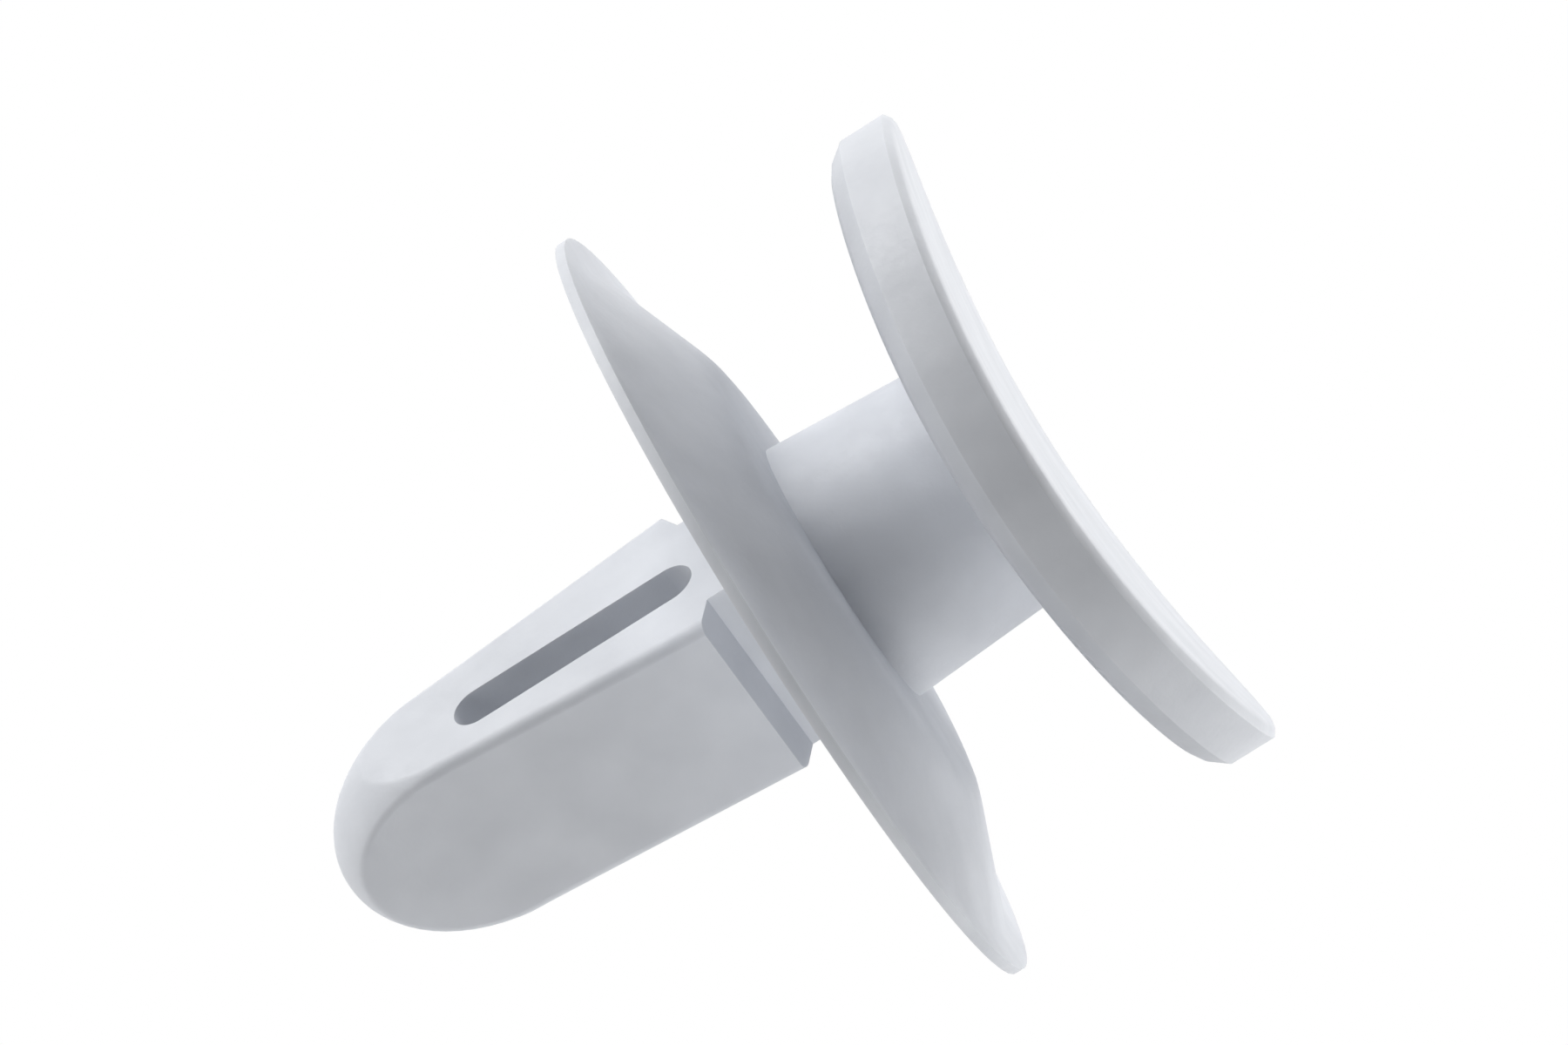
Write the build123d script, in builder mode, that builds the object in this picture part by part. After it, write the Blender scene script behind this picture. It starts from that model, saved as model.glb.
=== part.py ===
from build123d import *
import os
from math import asin, cos, hypot, radians, sin, sqrt, tan

os.makedirs("parts", exist_ok=True)

# Push-in clip for a vehicle trim panel, moulded in one piece.
# Lengths in millimetres, angles in degrees.
# It stands on the two low ends of its bowed head, with its nose up.
# The axis of the clip is Z, and the head is bowed along X.

# Head: a round plate, bent like a shallow arch about a line along Y
head_d = 17.1
head_t = 1.75
bow_r = 30.5
head_inner_r = 0.75
head_outer_r = 0.4

# Neck between the head and the skirt, a little thicker at the skirt
neck_head_d = 6.2
neck_skirt_d = 6.8
neck_len = 3.75
neck_blend_r = 0.3

# Skirt: a flat hub, a sloping wall and a thin lip that seals on the body panel
hub_d = 11.8
hub_t = 0.86
hub_edge_r = 2.4
skirt_drop = 1.5
skirt_slope_d = 18.2
skirt_d = 20.1
rim_t = 0.25
lip_w = 0.7
under_d = 11.2

# Shank: two spring legs, joined at the root and at the nose
shank_turn = 32.0
shank_w = 4.95
leg_t_top = 5.2
leg_t_nose = 3.5
leg_edge_r = 0.3
root_r = 0.35

# Grooves in the front and back faces, which hold the edge of the panel's hole
groove_depth = 0.85
grip_gap = 1.25
shoulder_h = 0.4

# Slot through the shank from side to side, which lets the legs close
slot_w = 1.25
slot_start = 1.35
slot_end = 7.9
slot_shift = 0.3

# Nose: rounded like a bullet
nose_start = 8.4
nose_len = 4.0
nose_tip_t = 2.7
nose_edge_r = 0.25

# Heights along the axis, from the plane that the ends of the head touch
head_r = head_d / 2
bevel_1 = 1 - tan(radians(22.5))
bevel_2 = tan(radians(22.5)) - tan(radians(11.25))
foot_x = head_r - head_outer_r * (bevel_1 + bevel_2) * cos(asin(head_r / bow_r))
bow_axis_z = -sqrt(bow_r**2 - foot_x**2)
crown_z = bow_axis_z + bow_r
seat_z = crown_z + head_t
hub_z = seat_z + neck_len
under_z = hub_z + hub_t
rim_z = hub_z + skirt_drop
notch_z = rim_z + grip_gap
shoulder_z = notch_z + shoulder_h
slot_start_z = rim_z + slot_start
slot_end_z = rim_z + slot_end
nose_z = rim_z + nose_start
tip_z = nose_z + nose_len
lip_z = rim_z - rim_t

# The plane that shows the turned shank from the side
turn = radians(shank_turn)
side_plane = Plane(origin=(0, 0, 0), x_dir=(-sin(turn), -cos(turn), 0), z_dir=(-cos(turn), sin(turn), 0))

# The legs from the side: grooves at the root, sloping shoulders, then a taper to the nose
groove_x = leg_t_top / 2 - groove_depth
leg_outline = [
    (groove_x, hub_z + hub_t / 2),
    (groove_x, notch_z),
    (leg_t_top / 2, shoulder_z),
    (leg_t_nose / 2, nose_z),
    (nose_tip_t / 2, tip_z),
]

# The shank is made first, so that its edges are rounded before it joins the skirt
with BuildPart() as shank:
    with BuildSketch(side_plane):
        with BuildLine():
            leg = Polyline(*leg_outline)
            mirror(leg, about=Plane.YZ)
            Line(leg_outline[0], (-leg_outline[0][0], leg_outline[0][1]))
            Line(leg_outline[-1], (-leg_outline[-1][0], leg_outline[-1][1]))
        make_face()
    extrude(amount=shank_w / 2, both=True)

    leg_edges = shank.edges().filter_by(
        lambda e: abs(e.tangent_at(0.5).Z) > 0.9 and e.center().Z > shoulder_z
    )
    fillet(leg_edges, radius=leg_edge_r)

    # The nose is the shank turned down to a bullet shape, by a ring that meets its rounded edges
    nose_r = hypot(shank_w / 2 - leg_edge_r, leg_t_nose / 2 - leg_edge_r) + leg_edge_r
    with BuildSketch(Plane.XZ):
        with BuildLine():
            EllipticalCenterArc((0, nose_z), nose_r, nose_len, start_angle=0, arc_size=90)
            Polyline(
                (0, tip_z),
                (0, tip_z + nose_len),
                (shank_w, tip_z + nose_len),
                (shank_w, nose_z),
                (nose_r, nose_z),
            )
        make_face()
    revolve(axis=Axis.Z, mode=Mode.SUBTRACT)

    # Its ridges are rounded off
    nose_ridges = shank.edges().filter_by(
        lambda e: e.center().Z > nose_z + 0.01 and e.geom_type in (GeomType.BSPLINE, GeomType.ELLIPSE)
    )
    fillet(nose_ridges, radius=nose_edge_r)

    # The slot, with round ends
    with BuildSketch(side_plane):
        with Locations((slot_shift, (slot_start_z + slot_end_z) / 2)):
            SlotOverall(slot_end_z - slot_start_z, slot_w, rotation=90)
    extrude(amount=shank_w, both=True, mode=Mode.SUBTRACT)


def head_edges(builder):
    """The edges that run round the head, from the outermost to the one beside the neck."""
    return builder.edges().filter_by(GeomType.BSPLINE).sort_by(Axis.Z)


# The whole moulding: head, turned neck and skirt, then the shank
with BuildPart() as trim_clip:
    with BuildSketch(Plane.XZ):
        with Locations((0, bow_axis_z)):
            Circle(bow_r + head_t)
            Circle(bow_r, mode=Mode.SUBTRACT)
        Rectangle(head_d, 4 * seat_z, mode=Mode.INTERSECT)
    extrude(amount=head_d, both=True)
    Cylinder(head_r, 4 * seat_z, mode=Mode.INTERSECT)

    # Each edge is rounded in two steps, with flats that touch a circle of its radius
    chamfer(head_edges(trim_clip)[:1], length=head_outer_r * bevel_1)
    chamfer(head_edges(trim_clip)[-1:], length=head_inner_r * bevel_1)
    chamfer(head_edges(trim_clip)[:2], length=head_outer_r * bevel_2)
    chamfer(head_edges(trim_clip)[-2:], length=head_inner_r * bevel_2)

    # Neck and skirt are one turned profile
    with BuildSketch(Plane.XZ):
        with BuildLine():
            Polyline(
                (0, seat_z - head_t / 2),
                (neck_head_d / 2, seat_z - head_t / 2),
                (neck_skirt_d / 2, hub_z),
                (hub_d / 2, hub_z),
                (skirt_slope_d / 2, lip_z),
                (skirt_d / 2, lip_z),
                (skirt_d / 2, rim_z),
                (skirt_d / 2 - lip_w, rim_z),
                (under_d / 2, under_z),
                (0, under_z),
                close=True,
            )
        make_face()
        hub_corner = vertices().sort_by(lambda v: abs(v.X - hub_d / 2) + abs(v.Y - hub_z))[0]
        fillet(hub_corner, radius=hub_edge_r)
    revolve(axis=Axis.Z)
    neck_joint = trim_clip.edges().filter_by(GeomType.BSPLINE).filter_by(
        lambda e: abs(hypot((e @ 0.25).X, (e @ 0.25).Y) - neck_head_d / 2) < 0.2
    )
    fillet(neck_joint, radius=neck_blend_r)

    add(shank.part)
    root_edges = trim_clip.edges().filter_by(GeomType.LINE).filter_by(
        lambda e: abs((e @ 0).Z - under_z) < 0.001 and abs((e @ 1).Z - under_z) < 0.001
    )
    fillet(root_edges, radius=root_r)

trim_clip.part.label = "trim_clip"
export_step(trim_clip.part, "parts/trim_clip.step")
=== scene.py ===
from math import cos, pi, radians, sin

import bmesh
import bpy
from mathutils import Matrix, Vector


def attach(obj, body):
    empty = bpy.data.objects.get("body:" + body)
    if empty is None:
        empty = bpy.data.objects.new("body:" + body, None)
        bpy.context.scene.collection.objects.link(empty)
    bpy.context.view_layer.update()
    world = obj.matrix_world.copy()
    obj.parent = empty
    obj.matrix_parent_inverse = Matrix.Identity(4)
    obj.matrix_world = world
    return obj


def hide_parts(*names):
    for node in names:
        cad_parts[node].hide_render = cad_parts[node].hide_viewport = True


# Push-in trim clip, standing on the two low ends of its bowed head with its nose up.
# Lengths in metres, angles in degrees, unless a name says otherwise.
MM = 0.001

# Where the photograph was taken from. The offset is how far the picture's middle lies
# to the right of the aim point and above it.
AIM_POINT = Vector((0, 0, 8.13)) * MM
VIEW_AZIMUTH = 0.7
VIEW_BELOW = 5.7
VIEW_ROLL = 122.1
VIEW_DISTANCE = 100 * MM
PIXELS_PER_MM = 48.9
IMAGE_WIDTH = 1800
SENSOR_WIDTH_MM = 36
AIM_OFFSET_PX = (-7, 96)
NEAREST_SEEN = 1 * MM
FARTHEST_SEEN = 10

# Finish of the moulding. Most of a noise pattern lies within the range.
NYLON_PALE = (0.71, 0.73, 0.77, 1)
NYLON_DEEP = (0.64, 0.66, 0.70, 1)
NYLON_IOR = 1.52
MILKINESS = 0.25
MILK_DEPTH = 0.35 * MM
PATTERN_RANGE = (0.3, 0.7)
CLOUD_SIZE = 2.0 * MM
GRAIN_SIZE = 0.2 * MM
GRAIN_DEPTH = 0.008 * MM
GRAIN_DETAIL = 3.0
FLOW_SIZE = 2.2 * MM
FLOW_DEPTH = 0.06 * MM
ROUGHNESS_SPREAD = (0.52, 0.64)

# The stub left where the plastic ran in, on the back of the head's round wall
GATE_WIDTH = 1.5 * MM
GATE_HEIGHT = 0.45 * MM
GATE_PROUD = 0.1 * MM
GATE_SUNK = 0.1 * MM
GATE_ROUGHNESS = 0.05 * MM
GATE_MIDDLE_HEIGHT = 1.83 * MM
GATE_COLUMNS = 25
GATE_ROWS = 9
HEAD_RADIUS = 8.55 * MM

# Edges of the moulding
CORNER_ABOVE = 32
CORNER_SOFTNESS = 0.07 * MM
CORNER_STEPS = 3
WELD_DISTANCE = 1e-6

# Surroundings
FLOOR_SIZE = 1.2
FLOOR_COLOUR = (0.90, 0.91, 0.92, 1)
FLOOR_ROUGHNESS = 0.9
WHITE = (1, 1, 1, 1)
BACKDROP_LIGHT = 1
WORLD_LIGHT = 0.05
LAMP_DISTANCE = 1.0


def shader(material, **values):
    """The material's own shader, with these inputs set on its sockets."""
    node = material.node_tree.nodes["Principled BSDF"]
    for name, value in values.items():
        node.inputs[name.replace("_", " ")].default_value = value
    return node


def new_material(name):
    """A material with its shader nodes."""
    material = bpy.data.materials.new(name)
    material.use_nodes = True
    return material


def math_node(nodes, links, operation, first, second=None):
    """The result of one sum on sockets or numbers."""
    node = nodes.new("ShaderNodeMath")
    node.operation = operation
    for socket, value in zip(node.inputs, (first, second)):
        if isinstance(value, bpy.types.NodeSocket):
            links.new(value, socket)
        elif value is not None:
            socket.default_value = value
    return node.outputs["Value"]


# Materials

def noise(nodes, links, place, size, detail=2.0):
    """A cloudy pattern with patches about that long, from 0 to 1."""
    cloud = nodes.new("ShaderNodeTexNoise")
    cloud.inputs["Scale"].default_value = 1 / size
    cloud.inputs["Detail"].default_value = detail
    links.new(place, cloud.inputs["Vector"])
    return cloud.outputs["Fac"]


def spread(nodes, links, pattern, low, high):
    """The pattern, spread from low to high."""
    span = nodes.new("ShaderNodeMapRange")
    span.inputs["From Min"].default_value = PATTERN_RANGE[0]
    span.inputs["From Max"].default_value = PATTERN_RANGE[1]
    span.inputs["To Min"].default_value = low
    span.inputs["To Max"].default_value = high
    links.new(pattern, span.inputs["Value"])
    return span.outputs["Result"]


def moulded_nylon():
    """Milky white nylon as it comes from the mould: faint clouds, flow marks and a fine grain."""
    material = new_material("moulded_nylon")
    nodes, links = material.node_tree.nodes, material.node_tree.links
    surface = shader(material, IOR=NYLON_IOR, Subsurface_Weight=MILKINESS,
                     Subsurface_Radius=(1.0, 1.0, 1.0), Subsurface_Scale=MILK_DEPTH)
    place = nodes.new("ShaderNodeTexCoord").outputs["Object"]

    clouds = noise(nodes, links, place, CLOUD_SIZE)
    tint = nodes.new("ShaderNodeMix")
    tint.data_type = "RGBA"
    tint.inputs["A"].default_value = NYLON_DEEP
    tint.inputs["B"].default_value = NYLON_PALE
    links.new(spread(nodes, links, clouds, 0, 1), tint.inputs["Factor"])
    links.new(tint.outputs["Result"], surface.inputs["Base Color"])

    grain = noise(nodes, links, place, GRAIN_SIZE, GRAIN_DETAIL)
    links.new(spread(nodes, links, grain, *ROUGHNESS_SPREAD), surface.inputs["Roughness"])

    flow = nodes.new("ShaderNodeBump")
    flow.inputs["Distance"].default_value = FLOW_DEPTH
    links.new(noise(nodes, links, place, FLOW_SIZE), flow.inputs["Height"])
    fine = nodes.new("ShaderNodeBump")
    fine.inputs["Distance"].default_value = GRAIN_DEPTH
    links.new(grain, fine.inputs["Height"])
    links.new(flow.outputs["Normal"], fine.inputs["Normal"])
    links.new(fine.outputs["Normal"], surface.inputs["Normal"])
    return material


def pale_floor():
    """A plain floor with the clip's shadow, which only the camera sees, and only from above."""
    material = new_material("pale_floor")
    nodes, links = material.node_tree.nodes, material.node_tree.links
    surface = shader(material, Base_Color=FLOOR_COLOUR, Roughness=FLOOR_ROUGHNESS)
    path = nodes.new("ShaderNodeLightPath")
    geometry = nodes.new("ShaderNodeNewGeometry")
    from_above = nodes.new("ShaderNodeMath")
    from_above.operation = "SUBTRACT"
    from_above.use_clamp = True
    links.new(path.outputs["Is Camera Ray"], from_above.inputs[0])
    links.new(geometry.outputs["Backfacing"], from_above.inputs[1])
    clear = nodes.new("ShaderNodeBsdfTransparent")
    shown = nodes.new("ShaderNodeMixShader")
    links.new(from_above.outputs["Value"], shown.inputs["Fac"])
    links.new(clear.outputs["BSDF"], shown.inputs[1])
    links.new(surface.outputs["BSDF"], shown.inputs[2])
    links.new(shown.outputs["Shader"], nodes["Material Output"].inputs["Surface"])
    return material


# The clip

def moulding(node, material):
    """The clip's one moulding, with its facets joined and its corners a little round, as moulded."""
    mesh = node.data.copy()
    mesh.name = "clip_moulding"
    if mesh.has_custom_normals:
        mesh.attributes.remove(mesh.attributes["custom_normal"])
    shape = bmesh.new()
    shape.from_mesh(mesh)
    bmesh.ops.remove_doubles(shape, verts=shape.verts, dist=WELD_DISTANCE)
    bmesh.ops.recalc_face_normals(shape, faces=shape.faces)
    shape.to_mesh(mesh)
    shape.free()
    mesh.materials.clear()
    mesh.materials.append(material)
    mesh.shade_smooth()
    piece = bpy.data.objects.new("clip_moulding", mesh)
    bpy.context.scene.collection.objects.link(piece)
    corners = piece.modifiers.new("soft_corners", "BEVEL")
    corners.limit_method = "ANGLE"
    corners.angle_limit = radians(CORNER_ABOVE)
    corners.width = CORNER_SOFTNESS
    corners.segments = CORNER_STEPS
    corners.use_clamp_overlap = True
    even = piece.modifiers.new("even_shading", "WEIGHTED_NORMAL")
    even.mode = "FACE_AREA_WITH_ANGLE"
    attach(piece, "root")
    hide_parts("trim_clip")


def gate_stub_tree():
    """A low bar along the head's round wall, with the rough face left where it was cut off."""
    tree = bpy.data.node_groups.new("gate_stub", "GeometryNodeTree")
    for name in ("Width", "Height", "Proud", "Sunk", "Roughness", "Grain Scale",
                 "Wall Radius", "Middle Height"):
        tree.interface.new_socket(name, in_out="INPUT", socket_type="NodeSocketFloat")
    tree.interface.new_socket("Finish", in_out="INPUT", socket_type="NodeSocketMaterial")
    tree.interface.new_socket("Geometry", in_out="OUTPUT", socket_type="NodeSocketGeometry")
    nodes, links = tree.nodes, tree.links
    sizes = nodes.new("NodeGroupInput").outputs

    depth = math_node(nodes, links, "ADD", sizes["Proud"], sizes["Sunk"])
    size = nodes.new("ShaderNodeCombineXYZ")
    links.new(sizes["Width"], size.inputs["X"])
    links.new(depth, size.inputs["Y"])
    links.new(sizes["Height"], size.inputs["Z"])
    bar = nodes.new("GeometryNodeMeshCube")
    bar.inputs["Vertices X"].default_value = GATE_COLUMNS
    bar.inputs["Vertices Z"].default_value = GATE_ROWS
    links.new(size.outputs["Vector"], bar.inputs["Size"])

    position = nodes.new("GeometryNodeInputPosition").outputs["Position"]
    where = nodes.new("ShaderNodeSeparateXYZ")
    links.new(position, where.inputs["Vector"])
    torn = nodes.new("ShaderNodeTexNoise")
    links.new(sizes["Grain Scale"], torn.inputs["Scale"])
    links.new(position, torn.inputs["Vector"])
    outside = math_node(nodes, links, "GREATER_THAN", where.outputs["Y"], 0.0)
    rough = math_node(nodes, links, "MULTIPLY", outside, sizes["Roughness"])
    rough = math_node(nodes, links, "MULTIPLY", rough, torn.outputs["Fac"])

    radius_squared = math_node(nodes, links, "MULTIPLY", sizes["Wall Radius"], sizes["Wall Radius"])
    across_squared = math_node(nodes, links, "MULTIPLY", where.outputs["X"], where.outputs["X"])
    wall = math_node(nodes, links, "SUBTRACT", radius_squared, across_squared)
    wall = math_node(nodes, links, "SQRT", wall)
    half_depth = math_node(nodes, links, "MULTIPLY", depth, 0.5)
    outward = math_node(nodes, links, "SUBTRACT", sizes["Proud"], half_depth)
    outward = math_node(nodes, links, "ADD", outward, wall)
    outward = math_node(nodes, links, "SUBTRACT", outward, rough)
    offset = nodes.new("ShaderNodeCombineXYZ")
    links.new(outward, offset.inputs["Y"])
    links.new(sizes["Middle Height"], offset.inputs["Z"])
    laid = nodes.new("GeometryNodeSetPosition")
    links.new(bar.outputs["Mesh"], laid.inputs["Geometry"])
    links.new(offset.outputs["Vector"], laid.inputs["Offset"])

    real = nodes.new("GeometryNodeRealizeInstances")
    links.new(laid.outputs["Geometry"], real.inputs["Geometry"])
    finish = nodes.new("GeometryNodeSetMaterial")
    links.new(real.outputs["Geometry"], finish.inputs["Geometry"])
    links.new(sizes["Finish"], finish.inputs["Material"])
    links.new(finish.outputs["Geometry"], nodes.new("NodeGroupOutput").inputs["Geometry"])
    return tree


def grown(name, tree, **values):
    """What the tree makes with these inputs, as a plain mesh."""
    seed = bpy.data.objects.new(name + "_seed", bpy.data.meshes.new(name + "_seed"))
    bpy.context.scene.collection.objects.link(seed)
    modifier = seed.modifiers.new("tree", "NODES")
    modifier.node_group = tree
    sockets = {item.name: item.identifier for item in tree.interface.items_tree}
    for socket_name, value in values.items():
        modifier[sockets[socket_name.replace("_", " ")]] = value
    depsgraph = bpy.context.evaluated_depsgraph_get()
    mesh = bpy.data.meshes.new_from_object(seed.evaluated_get(depsgraph), depsgraph=depsgraph)
    mesh.name = name
    bpy.data.objects.remove(seed)
    return mesh


def gate_stub(material):
    """The trace of the gate, as a low bar on the back of the head's wall."""
    mesh = grown("gate_stub", gate_stub_tree(),
                 Width=GATE_WIDTH, Height=GATE_HEIGHT, Proud=GATE_PROUD, Sunk=GATE_SUNK,
                 Roughness=GATE_ROUGHNESS, Grain_Scale=1 / GRAIN_SIZE, Wall_Radius=HEAD_RADIUS,
                 Middle_Height=GATE_MIDDLE_HEIGHT, Finish=material)
    mesh.shade_smooth()
    mesh.set_sharp_from_angle(angle=radians(CORNER_ABOVE))
    piece = bpy.data.objects.new("gate_stub", mesh)
    bpy.context.scene.collection.objects.link(piece)
    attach(piece, "root")


# Surroundings

def floor():
    """The plane that the clip stands on."""
    mesh = bpy.data.meshes.new("studio_floor")
    half = FLOOR_SIZE / 2
    corners = [(-half, -half, 0), (half, -half, 0), (half, half, 0), (-half, half, 0)]
    mesh.from_pydata(corners, [], [(0, 1, 2, 3)])
    mesh.materials.append(pale_floor())
    plane = bpy.data.objects.new("studio_floor", mesh)
    bpy.context.scene.collection.objects.link(plane)


def white_world():
    """Soft light from all round, and a white background that gloss shows too."""
    world = bpy.data.worlds.new("studio_world")
    world.use_nodes = True
    bpy.context.scene.world = world
    nodes, links = world.node_tree.nodes, world.node_tree.links
    light = nodes["Background"]
    light.inputs["Color"].default_value = WHITE
    light.inputs["Strength"].default_value = WORLD_LIGHT
    backdrop = nodes.new("ShaderNodeBackground")
    backdrop.inputs["Color"].default_value = WHITE
    backdrop.inputs["Strength"].default_value = BACKDROP_LIGHT
    path = nodes.new("ShaderNodeLightPath").outputs
    direct = math_node(nodes, links, "ADD", path["Is Camera Ray"], path["Is Glossy Ray"])
    direct = math_node(nodes, links, "ADD", direct, path["Is Transmission Ray"])
    seen = nodes.new("ShaderNodeMixShader")
    links.new(direct, seen.inputs["Fac"])
    links.new(light.outputs["Background"], seen.inputs[1])
    links.new(backdrop.outputs["Background"], seen.inputs[2])
    links.new(seen.outputs["Shader"], nodes["World Output"].inputs["Surface"])


def softbox(name, towards, level, width, height, across=(0, 0, 1)):
    """A lamp in that direction from the clip, with its width along across. The width and height
    are per metre of its distance. At level 1 it alone lights a white face to about white."""
    lamp = bpy.data.lights.new(name, "AREA")
    lamp.shape = "RECTANGLE"
    lamp.size = width * LAMP_DISTANCE
    lamp.size_y = height * LAMP_DISTANCE
    lamp.energy = level * (pi * LAMP_DISTANCE) ** 2
    holder = bpy.data.objects.new(name, lamp)
    bpy.context.scene.collection.objects.link(holder)
    back = Vector(towards).normalized()
    up = back.cross(Vector(across)).normalized()
    right = up.cross(back)
    place = Matrix.Translation(AIM_POINT + back * LAMP_DISTANCE)
    holder.matrix_world = place @ Matrix((right, up, back)).transposed().to_4x4()


def lights():
    """The lamps. In the photograph's picture the key light comes from the upper left."""
    softbox("key_light", (0.97, -0.06, 0.05), level=0.9, width=0.7, height=0.7)
    softbox("low_light", (-0.97, 0.0, 0.02), level=0.3, width=0.5, height=0.5)
    softbox("front_light", (-0.62, -0.65, 0.25), level=0.23, width=0.5, height=0.5)
    softbox("nose_light", (0.25, -0.50, 0.82), level=0.2, width=0.5, height=0.5, across=(1, 0, 0))
    softbox("top_light", (0.0, 0.20, 0.98), level=0.4, width=0.9, height=0.9, across=(1, 0, 0))
    softbox("head_light", (-0.35, -0.55, -0.76), level=0.1, width=0.4, height=0.4)
    softbox("under_light", (0.0, 0.60, -0.80), level=0.42, width=0.5, height=0.5, across=(1, 0, 0))
    softbox("upper_tip_light", (0.65, 0.38, -0.57), level=0.28, width=0.5, height=0.5)
    softbox("lower_tip_light", (-0.65, 0.38, -0.57), level=0.48, width=0.5, height=0.5)


# Camera

def camera_axes():
    """The photograph's right, up and back directions."""
    turn, below = radians(VIEW_AZIMUTH), radians(VIEW_BELOW)
    back = Vector((sin(turn) * cos(below), -cos(turn) * cos(below), -sin(below)))
    level_right = (-back).cross(Vector((0, 0, 1))).normalized()
    level_up = level_right.cross(-back)
    roll = radians(VIEW_ROLL)
    right = level_right * cos(roll) - level_up * sin(roll)
    up = level_right * sin(roll) + level_up * cos(roll)
    return right, up, back


def camera():
    """The camera, at the photograph's distance and scale."""
    right, up, back = camera_axes()
    place = AIM_POINT + back * VIEW_DISTANCE
    centre = AIM_POINT + (right * AIM_OFFSET_PX[0] + up * AIM_OFFSET_PX[1]) * MM / PIXELS_PER_MM
    back = (place - centre).normalized()
    right = up.cross(back).normalized()
    up = back.cross(right)
    lens = bpy.data.cameras.new("camera")
    lens.sensor_width = SENSOR_WIDTH_MM
    lens.lens = PIXELS_PER_MM * VIEW_DISTANCE / MM * SENSOR_WIDTH_MM / IMAGE_WIDTH
    lens.clip_start = NEAREST_SEEN
    lens.clip_end = FARTHEST_SEEN
    holder = bpy.data.objects.new("camera", lens)
    bpy.context.scene.collection.objects.link(holder)
    holder.matrix_world = Matrix.Translation(place) @ Matrix((right, up, back)).transposed().to_4x4()
    bpy.context.scene.camera = holder


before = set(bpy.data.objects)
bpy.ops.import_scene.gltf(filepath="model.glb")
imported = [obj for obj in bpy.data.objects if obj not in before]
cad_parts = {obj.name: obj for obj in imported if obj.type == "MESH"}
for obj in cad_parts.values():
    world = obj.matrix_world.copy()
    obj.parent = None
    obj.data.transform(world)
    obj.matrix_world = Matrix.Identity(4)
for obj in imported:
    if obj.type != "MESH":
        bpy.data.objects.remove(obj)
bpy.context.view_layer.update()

nylon = moulded_nylon()
moulding(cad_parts["trim_clip"], nylon)
gate_stub(nylon)
floor()
white_world()
lights()
camera()

bpy.context.scene.view_settings.view_transform = "Standard"
